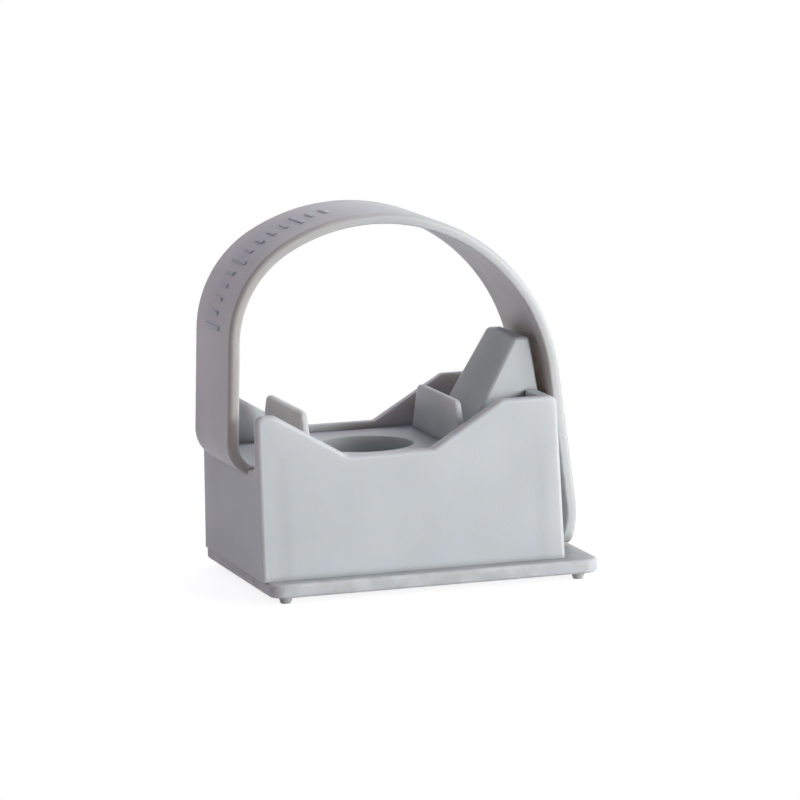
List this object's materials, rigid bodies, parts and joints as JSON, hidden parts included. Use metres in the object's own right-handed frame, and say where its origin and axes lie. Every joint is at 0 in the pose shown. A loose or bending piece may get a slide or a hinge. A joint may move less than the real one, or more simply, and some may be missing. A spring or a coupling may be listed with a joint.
{
  "type": "conduit support",
  "caption": "Light grey moulded conduit support: a flanged box with notched sides, spring tabs and a wedge post, and a wide strap that loops over the conduit and latches down the end.",
  "frame": {"origin": "on the axis of the fixing hole, at the flat underside of the flange", "axes": "+Z away from the wall that the support is fixed to, Y along the conduit, +X from the strap's root to its latch"},
  "size_m": [0.0371, 0.0256, 0.038],
  "materials": {
    "moulding": "matte"
  },
  "bodies": {
    "root": {"conduit_support": "moulding"}
  },
  "joints": []
}
